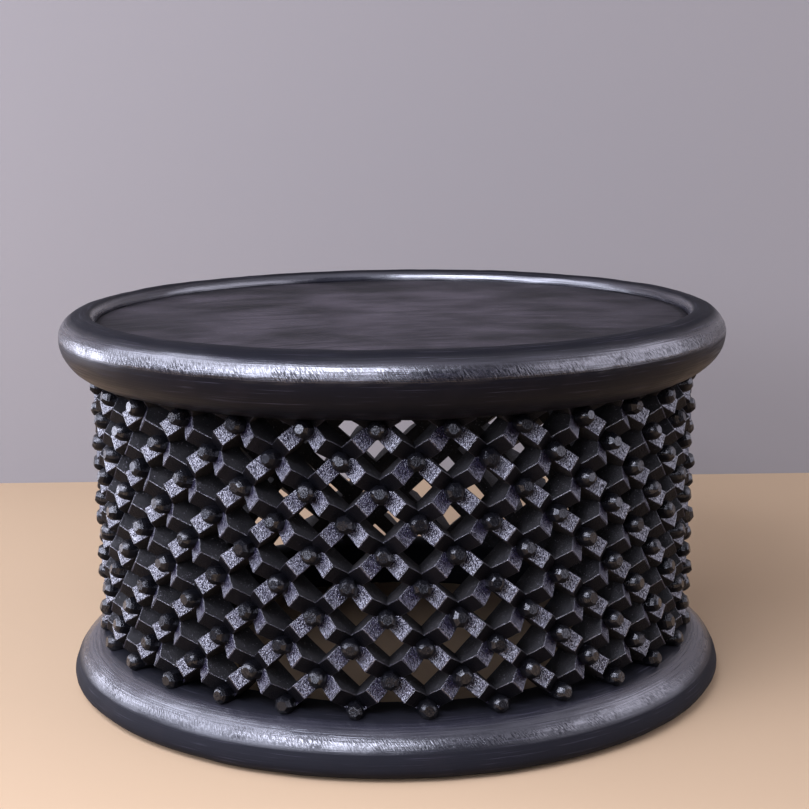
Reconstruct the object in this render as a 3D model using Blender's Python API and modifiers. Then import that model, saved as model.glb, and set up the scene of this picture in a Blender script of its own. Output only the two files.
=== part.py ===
# A low round stool carved as one drum: a dished seat with a thick rolled rim, an openwork wall of crossing
# bars with a knob at every crossing, and a rolled base ring. The front of the wall faces -Y, the ground is
# z = 0 and the drum's axis is Z. The carving is divided at its natural members, with a fine seam between.
# Each post of the wall is worked flat and then bent round the axis.

from math import cos, hypot, pi, sin

import bmesh
import bpy
from mathutils import Matrix, Vector

# Overall sizes, in metres
OVERALL_DIAMETER = 0.800
OVERALL_HEIGHT = 0.450
SEAM = 0.0003  # gap left between neighbouring members

# Rolled rim and dished seat
RIM_WIDTH = 0.0438  # from the rim's nose in to the wall of the dish
RIM_SHOULDER_DROP = 0.0286  # from the rim's crest down to its nose
RIM_BELLY_DROP = 0.0474  # from the nose down to the flat underside
RIM_LIP_WIDTH = 0.0118  # from the crest in to the wall of the dish
RIM_LIP_DROP = 0.0070  # height of the rounded inner edge
DISH_DEPTH = 0.0140
BOARD_THICKNESS = 0.0300
LEDGE_WIDTH = 0.0550  # how far the rim's ledge runs in under the seat board
SEAT_BEARING = 0.0240  # how far the flat underside runs out over the wall

# Openwork wall
RIM_OVERHANG = 0.0385  # from the rim's nose in to the ridge crests of the wall
WALL_DEPTH = 0.0420  # from the ridge crests in to the hollow
BAR_WIDTH = 0.0188
CUT_OVERRUN = 0.0020  # how far the raw face stands proud of the ridge crests, and cutters of the raw face
FACET_DROP = 0.0115  # from a ridge crest down to the foot of a knob
ROW_LEAN = -0.0013  # sideways drift of the pattern from one row to the next
FIRST_ROW_RISE = 0.0080  # lowest knobs, above the base ring
LAST_ROW_DROP = 0.0078  # highest knobs, below the seat
KNOB_DIAMETER = 0.0216
KNOB_TIP_DIAMETER = 0.0100  # flat end of a knob
KNOB_STAND = 0.0040  # knob tips, outside the ridge crests
KNOB_DOME = 0.0070  # height of the rounded end of a knob
POST_COUNT = 29
ROW_COUNT = 10
KNOB_SIDES = 6

# Rolled base ring
RING_PROJECTION = 0.0370  # from the ridge crests out to the ring's nose
RING_HEIGHT = 0.0580
RING_NOSE_HEIGHT = 0.0140
RING_HEEL_WIDTH = 0.0245  # from the nose in to where the ring meets the ground
RING_INNER_LIP = 0.0055  # how far the ring runs in past the wall
RING_SHELF = 0.0020  # flat top left outside the foot of the knobs

# Roundness: full quarter ellipses, apart from the leaner slope of the base ring
ROUND_FULLNESS = 2.0
RING_SLOPE_FULLNESS = 1.7
ARC_STEPS = 4
TURN_STEPS = 60
FLATNESS = pi / 720  # faces that turn by less than this are one face

# Places worked out from the sizes above
RIM_RADIUS = OVERALL_DIAMETER / 2
CREST_RADIUS = RIM_RADIUS - RIM_OVERHANG
HOLLOW_RADIUS = CREST_RADIUS - WALL_DEPTH
DISH_RADIUS = RIM_RADIUS - RIM_WIDTH
RIM_NOSE_Z = OVERALL_HEIGHT - RIM_SHOULDER_DROP
SEAT_UNDERSIDE_Z = RIM_NOSE_Z - RIM_BELLY_DROP
DISH_FLOOR_Z = OVERALL_HEIGHT - DISH_DEPTH
BOARD_UNDERSIDE_Z = DISH_FLOOR_Z - BOARD_THICKNESS
KNOB_RADIUS = KNOB_DIAMETER / 2
ROW_START_Z = RING_HEIGHT + FIRST_ROW_RISE
ROW_STEP = (SEAT_UNDERSIDE_Z - LAST_ROW_DROP - ROW_START_Z) / (ROW_COUNT - 1)
HALF_PITCH = pi * CREST_RADIUS / POST_COUNT
BAR_PITCH = hypot(HALF_PITCH, ROW_STEP)  # along a bar, from one crossing to the next
FACET_FALL = FACET_DROP / (BAR_PITCH / 2 - KNOB_RADIUS)  # slope of the facets
VALLEY_DEPTH = FACET_FALL * BAR_PITCH / 2  # where the facets would meet, under the middle of a knob
POST_FOOT_Z = RING_HEIGHT + SEAM
POST_HEAD_Z = SEAT_UNDERSIDE_Z - SEAM
WELD_REACH = SEAM / 10
FRONT_TURN = 0.0925  # turns the pattern as the photographed front shows it, in radians


def new_collection(name, hidden):
    collection = bpy.data.collections.new(name)
    collection.hide_render = hidden
    bpy.context.scene.collection.children.link(collection)
    return collection


def new_material(name, colour, roughness):
    material = bpy.data.materials.new(name)
    material.use_nodes = True
    shader = material.node_tree.nodes["Principled BSDF"]
    shader.inputs["Base Color"].default_value = (*colour, 1)
    shader.inputs["Roughness"].default_value = roughness
    shader.inputs["Metallic"].default_value = 0
    return material


def new_object(name, mesh, collection, material=None):
    obj = bpy.data.objects.new(name, mesh)
    collection.objects.link(obj)
    if material and not mesh.materials:
        mesh.materials.append(material)
    return obj


def as_cutter(obj):
    obj.hide_render = True
    obj.display_type = "WIRE"
    return obj


def arc(centre, width, height, start, end, fullness=ROUND_FULLNESS):
    """Points of a rounded corner, from one quarter turn to the next, about its centre."""
    points = []
    for step in range(ARC_STEPS + 1):
        angle = (start + (end - start) * step / ARC_STEPS) * pi / 2
        across = abs(cos(angle)) ** (2 / fullness) * (1 if cos(angle) > 0 else -1)
        up = abs(sin(angle)) ** (2 / fullness) * (1 if sin(angle) > 0 else -1)
        points.append((centre[0] + width * across, centre[1] + height * up))
    return points


def turned(name, outline, closed, collection, material=None, steps=TURN_STEPS):
    """A solid of revolution about Z from an outline of (radius, height) points at +X."""
    mesh = bpy.data.meshes.new(name)
    ends = [(i, i + 1) for i in range(len(outline) - 1)]
    if closed:
        ends.append((len(outline) - 1, 0))
    mesh.from_pydata([(radius, 0, height) for radius, height in outline], ends, [])
    obj = new_object(name, mesh, collection, material)
    screw = obj.modifiers.new("Turn", "SCREW")
    screw.steps = steps
    screw.render_steps = steps
    screw.use_merge_vertices = True
    screw.merge_threshold = WELD_REACH
    screw.use_smooth_shade = steps == TURN_STEPS
    return obj


def make_seat_rim(collection, material):
    crest_radius = DISH_RADIUS + RIM_LIP_WIDTH
    belly_radius = HOLLOW_RADIUS + SEAT_BEARING
    ledge_radius = DISH_RADIUS - LEDGE_WIDTH
    ledge_z = BOARD_UNDERSIDE_Z - SEAM
    outline = arc((crest_radius, RIM_NOSE_Z), RIM_RADIUS - crest_radius, RIM_SHOULDER_DROP, 1, 0)
    outline += arc((belly_radius, RIM_NOSE_Z), RIM_RADIUS - belly_radius, RIM_BELLY_DROP, 0, -1)[1:]
    outline += [(ledge_radius, SEAT_UNDERSIDE_Z), (ledge_radius, ledge_z), (DISH_RADIUS, ledge_z)]
    lip_centre = (crest_radius, OVERALL_HEIGHT - RIM_LIP_DROP)
    outline += arc(lip_centre, RIM_LIP_WIDTH, RIM_LIP_DROP, 2, 1)[:-1]
    return turned("seat_rim", outline, True, collection, material)


def make_seat_board(collection, material):
    radius = DISH_RADIUS - SEAM
    outline = [(0, DISH_FLOOR_Z), (radius, DISH_FLOOR_Z), (radius, BOARD_UNDERSIDE_Z), (0, BOARD_UNDERSIDE_Z)]
    return turned("seat_board", outline, False, collection, material)


def make_base_ring(collection, material):
    nose_radius = CREST_RADIUS + RING_PROJECTION
    shelf_radius = CREST_RADIUS - FACET_DROP + RING_SHELF
    inner_radius = HOLLOW_RADIUS - RING_INNER_LIP
    slope_centre = (shelf_radius, RING_NOSE_HEIGHT)
    slope_height = RING_HEIGHT - RING_NOSE_HEIGHT
    heel_centre = (nose_radius - RING_HEEL_WIDTH, RING_NOSE_HEIGHT)
    outline = arc(slope_centre, nose_radius - shelf_radius, slope_height, 1, 0, RING_SLOPE_FULLNESS)
    outline += arc(heel_centre, RING_HEEL_WIDTH, RING_NOSE_HEIGHT, 0, -1)[1:]
    outline += [(inner_radius, 0), (inner_radius, RING_HEIGHT)]
    return turned("base_ring", outline, True, collection, material)


def crossing(row):
    """Centre of a post's crossing in the wall laid flat: x along the wall, y its depth and z up."""
    return Vector((HALF_PITCH * (row % 2), 0, ROW_START_Z + ROW_STEP * row))


def bar_end(centre, side, up):
    """Lower and upper corner of a half bar's end, at the seam halfway to the next post."""
    along = Vector((side * HALF_PITCH, 0, up * ROW_STEP)) / BAR_PITCH
    across = Vector((-side * up * ROW_STEP, 0, HALF_PITCH)) / BAR_PITCH
    middle = centre + along * (BAR_PITCH - SEAM) / 2
    return [middle - across * BAR_WIDTH / 2, middle + across * BAR_WIDTH / 2]


def side_of_post(side):
    """Corners up one side of the flat post. Half bars reach out to the next post at every second crossing,
    and on both sides at the last, where they are trimmed later. None point down from the first."""
    beside = Vector((side * BAR_WIDTH / 2 * BAR_PITCH / ROW_STEP, 0, 0))
    above = Vector((0, 0, BAR_WIDTH / 2 * BAR_PITCH / HALF_PITCH))
    corners = []
    for row in range(ROW_COUNT):
        centre = crossing(row)
        reaches_out = (row % 2 == 1) == (side > 0)
        if reaches_out:
            corners.append(centre - above)
        if reaches_out and row > 0:
            corners += bar_end(centre, side, -1)
        corners.append(centre + beside)
        if reaches_out or row == ROW_COUNT - 1:
            corners += bar_end(centre, side, 1)
        if reaches_out:
            corners.append(centre + above)
    return corners


def make_raw_post(collection):
    """One zigzag post of the flat wall, sawn through its depth, with its face still proud."""
    outline = side_of_post(1) + side_of_post(-1)[::-1]
    thickness = CUT_OVERRUN + WALL_DEPTH
    curve = bpy.data.curves.new("raw_post", "CURVE")
    curve.dimensions = "2D"
    curve.fill_mode = "BOTH"
    curve.extrude = thickness / 2
    spline = curve.splines.new("POLY")
    spline.points.add(len(outline) - 1)
    spline.use_cyclic_u = True
    for point, corner in zip(spline.points, outline):
        point.co = (corner.x, corner.z, 0, 1)
    sawn = bpy.data.objects.new("raw_post", curve)
    collection.objects.link(sawn)
    mesh = bpy.data.meshes.new_from_object(sawn.evaluated_get(bpy.context.evaluated_depsgraph_get()))
    bpy.data.objects.remove(sawn)
    bm = bmesh.new()
    bm.from_mesh(mesh)
    bmesh.ops.remove_doubles(bm, verts=bm.verts, dist=WELD_REACH)
    upright = Matrix.Translation((0, WALL_DEPTH - thickness / 2, 0)) @ Matrix.Rotation(pi / 2, 4, "X")
    bmesh.ops.transform(bm, matrix=upright, verts=bm.verts)
    bmesh.ops.recalc_face_normals(bm, faces=bm.faces)
    bm.to_mesh(mesh)
    bm.free()
    return as_cutter(new_object("flat_post", mesh, collection))


def make_post_bounds(collection):
    """The block of wall that a finished post lies in, between the ring and the seat."""
    low = Vector((-2 * HALF_PITCH, -WALL_DEPTH, POST_FOOT_Z))
    high = Vector((2 * HALF_PITCH, 2 * WALL_DEPTH, POST_HEAD_Z))
    bm = bmesh.new()
    bmesh.ops.create_cube(bm, size=1)
    placed = Matrix.Translation((low + high) / 2) @ Matrix.Diagonal((*(high - low), 1))
    bmesh.ops.transform(bm, matrix=placed, verts=bm.verts)
    mesh = bpy.data.meshes.new("post_bounds")
    bm.to_mesh(mesh)
    bm.free()
    return as_cutter(new_object("post_bounds", mesh, collection))


def make_facet_cutter(row, collection):
    """A pyramid sunk at a crossing. Its four sides are the facets that fall from the ridges to the knob."""
    grown = 1 + 2 * CUT_OVERRUN / VALLEY_DEPTH
    half_width = BAR_PITCH**2 / HALF_PITCH / 2
    half_height = BAR_PITCH**2 / ROW_STEP / 2
    bm = bmesh.new()
    bmesh.ops.create_cone(bm, cap_ends=True, segments=4, radius1=1, radius2=0, depth=1)
    bmesh.ops.remove_doubles(bm, verts=bm.verts, dist=WELD_REACH)
    tip_down = Matrix.Translation((0, 0, -0.5))
    size = Matrix.Diagonal((half_width * grown, half_height * grown, VALLEY_DEPTH * grown, 1))
    sunk = Matrix.Translation(crossing(row) + Vector((0, VALLEY_DEPTH, 0))) @ Matrix.Rotation(-pi / 2, 4, "X")
    bmesh.ops.transform(bm, matrix=sunk @ size @ tip_down, verts=bm.verts)
    mesh = bpy.data.meshes.new("facets")
    bm.to_mesh(mesh)
    bm.free()
    return as_cutter(new_object("facets", mesh, collection))


def make_knob(row, collection):
    """A stud with a few chiselled sides and a blunt end, standing out of the wall."""
    root = -(VALLEY_DEPTH + WALL_DEPTH) / 2
    shoulder = KNOB_STAND - KNOB_DOME
    tip_radius = KNOB_TIP_DIAMETER / 2
    outline = [(0, KNOB_STAND), (tip_radius, KNOB_STAND), (KNOB_RADIUS, shoulder)]
    outline += [(KNOB_RADIUS, root), (0, root)]
    knob = turned("knob", outline, False, collection, steps=KNOB_SIDES)
    knob.location = crossing(row)
    knob.rotation_euler = (pi / 2, 0, 0)
    return as_cutter(knob)


def add_boolean(obj, operation, pieces):
    modifier = obj.modifiers.new(operation.title(), "BOOLEAN")
    modifier.operation = operation
    modifier.operand_type = "COLLECTION"
    modifier.collection = pieces


def make_flat_post(cutters):
    """One zigzag post, laid flat: bars that cross at its knobs and end halfway to the posts beside it."""
    facets = new_collection("facet_cutters", True)
    knobs = new_collection("knobs", True)
    bounds = new_collection("post_bounds", True)
    for row in range(ROW_COUNT):
        make_facet_cutter(row, facets)
        make_knob(row, knobs)
    make_post_bounds(bounds)
    post = make_raw_post(cutters)
    add_boolean(post, "DIFFERENCE", facets)
    add_boolean(post, "UNION", knobs)
    add_boolean(post, "INTERSECT", bounds)
    return post


def split_bar_ends(bm):
    """Halves the ends of the half bars from their low front corners, so that ends that meet bend alike."""
    for face in list(bm.faces):
        reach = abs(face.calc_center_median().x - HALF_PITCH / 2)
        if len(face.verts) == 4 and reach > HALF_PITCH - SEAM:
            corners = list(face.verts)
            low_front = min(corners, key=lambda corner: corner.co.z + corner.co.y)
            bmesh.utils.face_split(face, low_front, corners[corners.index(low_front) - 2])


def wrapped_mesh(flat):
    """The flat post bent round the drum's axis: x becomes the way round and y the depth behind the crests."""
    graph = bpy.context.evaluated_depsgraph_get()
    mesh = bpy.data.meshes.new_from_object(flat.evaluated_get(graph))
    mesh.name = "lattice_post"
    bm = bmesh.new()
    bm.from_mesh(mesh)
    bmesh.ops.remove_doubles(bm, verts=bm.verts, dist=WELD_REACH)
    bmesh.ops.dissolve_limit(bm, angle_limit=FLATNESS, verts=bm.verts, edges=bm.edges)
    split_bar_ends(bm)
    bmesh.ops.triangulate(bm, faces=bm.faces)
    for vert in bm.verts:
        lean = ROW_LEAN * (vert.co.z - ROW_START_Z) / ROW_STEP
        angle = (vert.co.x + lean) / CREST_RADIUS
        radius = CREST_RADIUS - vert.co.y
        vert.co = (radius * sin(angle), -radius * cos(angle), vert.co.z)
    bm.to_mesh(mesh)
    bm.free()
    return mesh


def main():
    for obj in list(bpy.data.objects):
        bpy.data.objects.remove(obj)
    stool = new_collection("bamileke_stool", False)
    cutters = new_collection("cutters", True)
    rim_wood = new_material("polished_black_wood", (0.018, 0.018, 0.021), 0.34)
    board_wood = new_material("dull_brown_black_wood", (0.030, 0.025, 0.024), 0.62)
    wall_wood = new_material("chiselled_black_wood", (0.020, 0.020, 0.023), 0.45)
    ring_wood = new_material("rubbed_black_wood", (0.019, 0.019, 0.023), 0.40)

    make_seat_rim(stool, rim_wood)
    make_seat_board(stool, board_wood)
    make_base_ring(stool, ring_wood)
    post_mesh = wrapped_mesh(make_flat_post(cutters))
    for number in range(POST_COUNT):
        post = new_object(f"lattice_post_{number + 1:02d}", post_mesh, stool, wall_wood)
        post.rotation_euler = (0, 0, FRONT_TURN + 2 * pi * number / POST_COUNT)


main()
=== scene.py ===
from math import cos, hypot, pi, radians, sin

import bmesh
import bpy
from mathutils import Matrix, Vector, noise


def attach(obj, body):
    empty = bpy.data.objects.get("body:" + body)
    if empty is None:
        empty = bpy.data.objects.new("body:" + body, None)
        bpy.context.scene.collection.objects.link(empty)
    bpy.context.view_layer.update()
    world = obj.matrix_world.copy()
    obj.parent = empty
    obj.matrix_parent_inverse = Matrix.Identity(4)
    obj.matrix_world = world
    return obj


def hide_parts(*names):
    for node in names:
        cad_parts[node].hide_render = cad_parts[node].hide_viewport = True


# A low round stool carved from one log and stained black: its looks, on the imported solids.
# Metres, +Z up, the photographed front faces -Y.

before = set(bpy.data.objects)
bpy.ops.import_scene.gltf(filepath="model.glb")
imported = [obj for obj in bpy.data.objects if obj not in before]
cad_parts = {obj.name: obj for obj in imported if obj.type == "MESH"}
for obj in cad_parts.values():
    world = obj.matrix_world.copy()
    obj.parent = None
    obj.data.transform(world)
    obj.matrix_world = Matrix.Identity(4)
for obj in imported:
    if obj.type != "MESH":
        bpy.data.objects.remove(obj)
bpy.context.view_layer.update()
print("frame loaded:", len(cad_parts), "solids")

perMetre = 1000  # millimetres in a metre; patterns are sized in millimetres


# sRGB hex to linear red, green, blue and alpha
def linear(hexColour):
    parts = [int(hexColour[i:i + 2], 16) / 255 for i in (1, 3, 5)]
    return (*[p / 12.92 if p <= 0.04045 else ((p + 0.055) / 1.055) ** 2.4 for p in parts], 1)


# Adds a node, sets its properties, and fills its inputs with values, nodes or sockets.
# Inputs are a dictionary by name, or a list in the order that the node shows them.
def addNode(tree, kind, inputs=(), **settings):
    node = tree.nodes.new(kind)
    for name, value in settings.items():
        setattr(node, name, value)
    shown = [s for s in node.inputs if s.enabled]
    pairs = inputs.items() if isinstance(inputs, dict) else enumerate(inputs)
    for key, value in pairs:
        socket = shown[key] if isinstance(key, int) else next(s for s in shown if s.name == key)
        if isinstance(value, bpy.types.Node):
            value = next(s for s in value.outputs if s.enabled)
        if isinstance(value, bpy.types.NodeSocket):
            tree.links.new(value, socket)
        else:
            socket.default_value = value
    return node


def newMaterial(name):
    material = bpy.data.materials.new(name)
    material.use_nodes = True
    return material, material.node_tree, material.node_tree.nodes["Principled BSDF"]


# How far the wax reaches: it stays on what a cloth rubs, and fades on surfaces that face down
def waxReach(tree, look):
    normal = addNode(tree, "ShaderNodeNewGeometry").outputs["True Normal"]
    facing = addNode(tree, "ShaderNodeSeparateXYZ", [normal])
    return addNode(tree, "ShaderNodeMapRange", [facing.outputs[2], *look["waxedFrom"], 0, 1])


# Colour, roughness, relief and gloss of the stained wood
def woodOn(tree, shader, look, colour, roughness, bump):
    tree.links.new(colour.outputs[2], shader.inputs["Base Color"])
    tree.links.new(roughness.outputs[0], shader.inputs["Roughness"])
    tree.links.new(bump.outputs[0], shader.inputs["Normal"])
    shader.inputs["Specular IOR Level"].default_value = look["gloss"]


# Wax over the wood, as a coat with a cold sheen
def waxOn(tree, shader, look, coat, bump):
    tree.links.new(coat.outputs[0], shader.inputs["Coat Weight"])
    tree.links.new(bump.outputs[0], shader.inputs["Coat Normal"])
    shader.inputs["Coat Roughness"].default_value = look["waxRough"]
    shader.inputs["Coat IOR"].default_value = look["waxIor"]
    shader.inputs["Specular Tint"].default_value = look["sheen"]


def newPiece(name, mesh):
    piece = bpy.data.objects.new(name, mesh)
    bpy.context.scene.collection.objects.link(piece)
    return piece


# Materials. A pair named From holds the noise levels between which an effect comes in; for the wax and
# for the matt top it holds heights of the surface normal.

carvedLook = {
    "stain": "#08080b",  # spirit-black stain with a cold cast
    "brown": "#100e10",  # where it is thin
    "fibre": "#28243c",  # tops of the fibres, grey under the wax, with a painted violet sheen on up-facing facets
    "dry": "#2c2b2b",  # sawn sides that no hand has rubbed
    "dust": "#8c8991",
    "worn": "#3b3943",  # bare dry wood on rubbed edges, lightened further as a painted glint
    "sheen": (0.86, 0.88, 1.0, 1),
    "fibreWide": 1.15,  # mm; real fibres are finer, drawn as coarse as the picture can show
    "fibreLong": 3.8,
    "fibreDepth": 1.1,
    "fibreFrom": (0.42, 0.54),
    "pores": 0.08,  # wax left in the hollows between the fibres
    # how far the fibres grey and take on the painted violet sheen
    "greyingAndSheen": 0.8,
    "patchesPerMetre": 38,
    "brownFrom": (0.45, 0.75),
    "strokeWide": 5.0,  # mm between chisel strokes
    "strokeDepth": 1.0,
    "strokeWander": 1.2,  # how far a stroke strays, in strokes
    "strokeShift": 9.7,  # how far the strokes of one crossing are moved against another's
    "strokeShine": 0.55,  # wax on the dullest stroke
    "rough": (0.34, 0.52),
    "roughFrom": (0.35, 0.65),
    "gloss": 0.12,
    "waxedFrom": (-0.30, 0.02),
    "waxRough": 0.24,
    "waxIor": 2.35,  # above a plain wax's, matched to the graphite gleam of buffed black polish
    "dryShare": 1.0,  # how dry the sides are
    "dryRough": 0.62,
    "dryFrom": (0.3, 0.7),
    "dryLeast": 0.35,
    "sideWax": 0.3,  # what the sides keep of the wax
    "edgeWax": 0.45,  # wax on the rubbed edges
    "specksPerMetre": 520,
    "dustFrom": (0.68, 0.76),
    "dustMost": 0.7,
    "wornFrom": (0.42, 0.6),
}


# Chiselled hardwood under black stain and wax: crisp facets with upright fibres that sparkle in a cold
# sheen, and dull, slightly dusty sides in the openings
def carvedWood(name, look):
    material, tree, shader = newMaterial(name)
    place = addNode(tree, "ShaderNodeTexCoord").outputs["Object"]
    stroke = addNode(tree, "ShaderNodeAttribute", attribute_name="along").outputs["Fac"]
    cut = addNode(tree, "ShaderNodeAttribute", attribute_name="cut").outputs["Fac"]
    wear = addNode(tree, "ShaderNodeAttribute", attribute_name="wear").outputs["Fac"]

    wide, long = perMetre / look["fibreWide"], perMetre / look["fibreLong"]
    fibreSpace = addNode(tree, "ShaderNodeMapping", {"Vector": place, "Scale": (wide, wide, long)})
    fibre = addNode(tree, "ShaderNodeTexNoise",
                    {"Vector": fibreSpace, "Scale": 1, "Detail": 2, "Roughness": 0.65})
    patches = addNode(tree, "ShaderNodeTexNoise",
                      {"Vector": place, "Scale": look["patchesPerMetre"], "Detail": 3, "Roughness": 0.6})

    # chisel strokes across each facet, each one tilted its own way
    count = addNode(tree, "ShaderNodeMath", [stroke, perMetre / look["strokeWide"]], operation="MULTIPLY")
    wobble = addNode(tree, "ShaderNodeMath", [patches, look["strokeWander"], count], operation="MULTIPLY_ADD")
    shifted = addNode(tree, "ShaderNodeMath", [cut, look["strokeShift"], wobble], operation="MULTIPLY_ADD")
    number = addNode(tree, "ShaderNodeMath", [shifted], operation="FLOOR")
    within = addNode(tree, "ShaderNodeMath", [shifted], operation="FRACT")
    pick = addNode(tree, "ShaderNodeTexWhiteNoise", {"W": number}, noise_dimensions="1D").outputs["Value"]
    tilt = addNode(tree, "ShaderNodeMath", [pick, 0.5], operation="SUBTRACT")
    slope = addNode(tree, "ShaderNodeMath", [tilt, within], operation="MULTIPLY")
    onFacet = addNode(tree, "ShaderNodeMath", [stroke, 0], operation="GREATER_THAN")
    strokeSlope = addNode(tree, "ShaderNodeMath", [slope, onFacet], operation="MULTIPLY")
    strokeHeight = addNode(tree, "ShaderNodeMath", [strokeSlope, look["strokeDepth"]], operation="MULTIPLY")
    height = addNode(tree, "ShaderNodeMath", [fibre, look["fibreDepth"], strokeHeight],
                     operation="MULTIPLY_ADD")
    bump = addNode(tree, "ShaderNodeBump", {"Strength": 1, "Distance": 1 / perMetre, "Height": height})

    # fibres stand up bright between dark pores, and no two strokes of the chisel shine alike
    fibres = addNode(tree, "ShaderNodeMapRange", [fibre, *look["fibreFrom"], look["pores"], 1])
    shine = addNode(tree, "ShaderNodeMapRange", [pick, 0, 1, look["strokeShine"], 1])
    shining = addNode(tree, "ShaderNodeMath", [fibres, shine], operation="MULTIPLY")

    # sides are neither facet nor rubbed edge
    facetOrEdge = addNode(tree, "ShaderNodeMath", [onFacet, wear], operation="MAXIMUM")
    side = addNode(tree, "ShaderNodeMath", [1, facetOrEdge], operation="SUBTRACT")
    isDry = addNode(tree, "ShaderNodeMath", [side, look["dryShare"]], operation="MULTIPLY")
    kept = addNode(tree, "ShaderNodeMapRange", [isDry, 0, 1, 1, look["sideWax"]])
    covered = addNode(tree, "ShaderNodeMath", [shining, kept], operation="MULTIPLY")
    edgeCover = addNode(tree, "ShaderNodeMath", [wear, look["edgeWax"]], operation="MULTIPLY")
    cover = addNode(tree, "ShaderNodeMath", [covered, edgeCover], operation="MAXIMUM")
    reached = waxReach(tree, look)
    coat = addNode(tree, "ShaderNodeMath", [reached, cover], operation="MULTIPLY")
    rubbedRough = addNode(tree, "ShaderNodeMapRange", [patches, *look["roughFrom"], *look["rough"]])
    roughness = addNode(tree, "ShaderNodeMix", [isDry, rubbedRough, look["dryRough"]])

    # stain, fibres grey under the wax with a painted violet sheen on up-facing facets, dry sides, dust, and
    # worn edges with a painted glint, one over the other
    brownish = addNode(tree, "ShaderNodeMapRange", [patches, *look["brownFrom"], 0, 1])
    stained = addNode(tree, "ShaderNodeMix", [brownish, linear(look["stain"]), linear(look["brown"])],
                      data_type="RGBA")
    greyingAndSheen = addNode(tree, "ShaderNodeMath", [onFacet, look["greyingAndSheen"]], operation="MULTIPLY")
    greySheenFibres = addNode(tree, "ShaderNodeMath", [fibres, greyingAndSheen], operation="MULTIPLY")
    greyedAndSheen = addNode(tree, "ShaderNodeMath", [greySheenFibres, reached], operation="MULTIPLY")
    fibrous = addNode(tree, "ShaderNodeMix", [greyedAndSheen, stained, linear(look["fibre"])], data_type="RGBA")
    dried = addNode(tree, "ShaderNodeMapRange", [patches, *look["dryFrom"], look["dryLeast"], 1])
    dryHere = addNode(tree, "ShaderNodeMath", [dried, isDry], operation="MULTIPLY")
    dull = addNode(tree, "ShaderNodeMix", [dryHere, fibrous, linear(look["dry"])], data_type="RGBA")
    specks = addNode(tree, "ShaderNodeTexNoise",
                     {"Vector": place, "Scale": look["specksPerMetre"], "Detail": 1, "Roughness": 0.5})
    dust = addNode(tree, "ShaderNodeMapRange", [specks, *look["dustFrom"], 0, look["dustMost"]])
    dustHere = addNode(tree, "ShaderNodeMath", [dust, isDry], operation="MULTIPLY")
    dusty = addNode(tree, "ShaderNodeMix", [dustHere, dull, linear(look["dust"])], data_type="RGBA")
    # rubbed edges lighter: bare wood, and in part a painted glint along the edges
    rubbed = addNode(tree, "ShaderNodeMapRange", [fibre, *look["wornFrom"], 0, 1])
    wornEdgeAndGlint = addNode(tree, "ShaderNodeMath", [rubbed, wear], operation="MULTIPLY")
    colour = addNode(tree, "ShaderNodeMix", [wornEdgeAndGlint, dusty, linear(look["worn"])], data_type="RGBA")
    woodOn(tree, shader, look, colour, roughness, bump)
    waxOn(tree, shader, look, coat, bump)
    return material


turnedLook = {
    "stain": "#0b0b10",
    "brown": "#110f13",
    # tops of the fibres: grey wax, and a painted sheen on the up-facing roll
    "fibre": "#201f28",
    "worn": "#38363f",
    "sheen": (0.88, 0.90, 1.0, 1),
    "streakWide": 1.8,  # mm, tool streaks that run round the piece
    "streakLong": 80.0,
    "streakDepth": 0.26,
    "streakFrom": (0.34, 0.52),
    "streakLeast": 0.6,  # wax left between the streaks
    "hatchWide": 1.7,  # mm, short rasp marks over the roll; finer on the real one
    "hatchLong": 6.0,
    "hatchDepth": 0.60,
    "hatchLean": 0.55,
    "hatchBetween": (0.43, 0.57),  # noise levels between which a rasp mark rises
    "hatchFrom": (0.028, 0.036),  # metres over the roll from its top, where the rasp marks begin and are full
    "hatchTo": (0.044, 0.052),  # where they fade and end
    "patchesPerMetre": 26,
    "spreadFrom": (0.38, 0.62),
    "spreadLeast": 0.35,  # rasp marks in the places that have the fewest
    "mattFrom": (0.62, 0.90),
    "mattWax": 0.08,  # wax left where the top is worn matt
    "pores": 0.15,
    "rough": (0.30, 0.46),
    "roughFrom": (0.35, 0.65),
    "bareRough": 0.75,
    "gloss": 0.10,
    "waxedFrom": (-0.04, 0.14),
    "waxTo": (9.0, 9.1),  # metres over the roll where the wax thins and ends; a shorter roll keeps it all
    "waxRough": 0.235,
    "waxIor": 2.05,
    "greyAndSheenFrom": (0.3, 1),  # cover of wax from which the fibres grey and take on a painted sheen
    "greyingAndSheen": 0.7,
    "brownFrom": (0.5, 0.75),
    "wornFrom": (0.6, 0.8),
}


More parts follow.
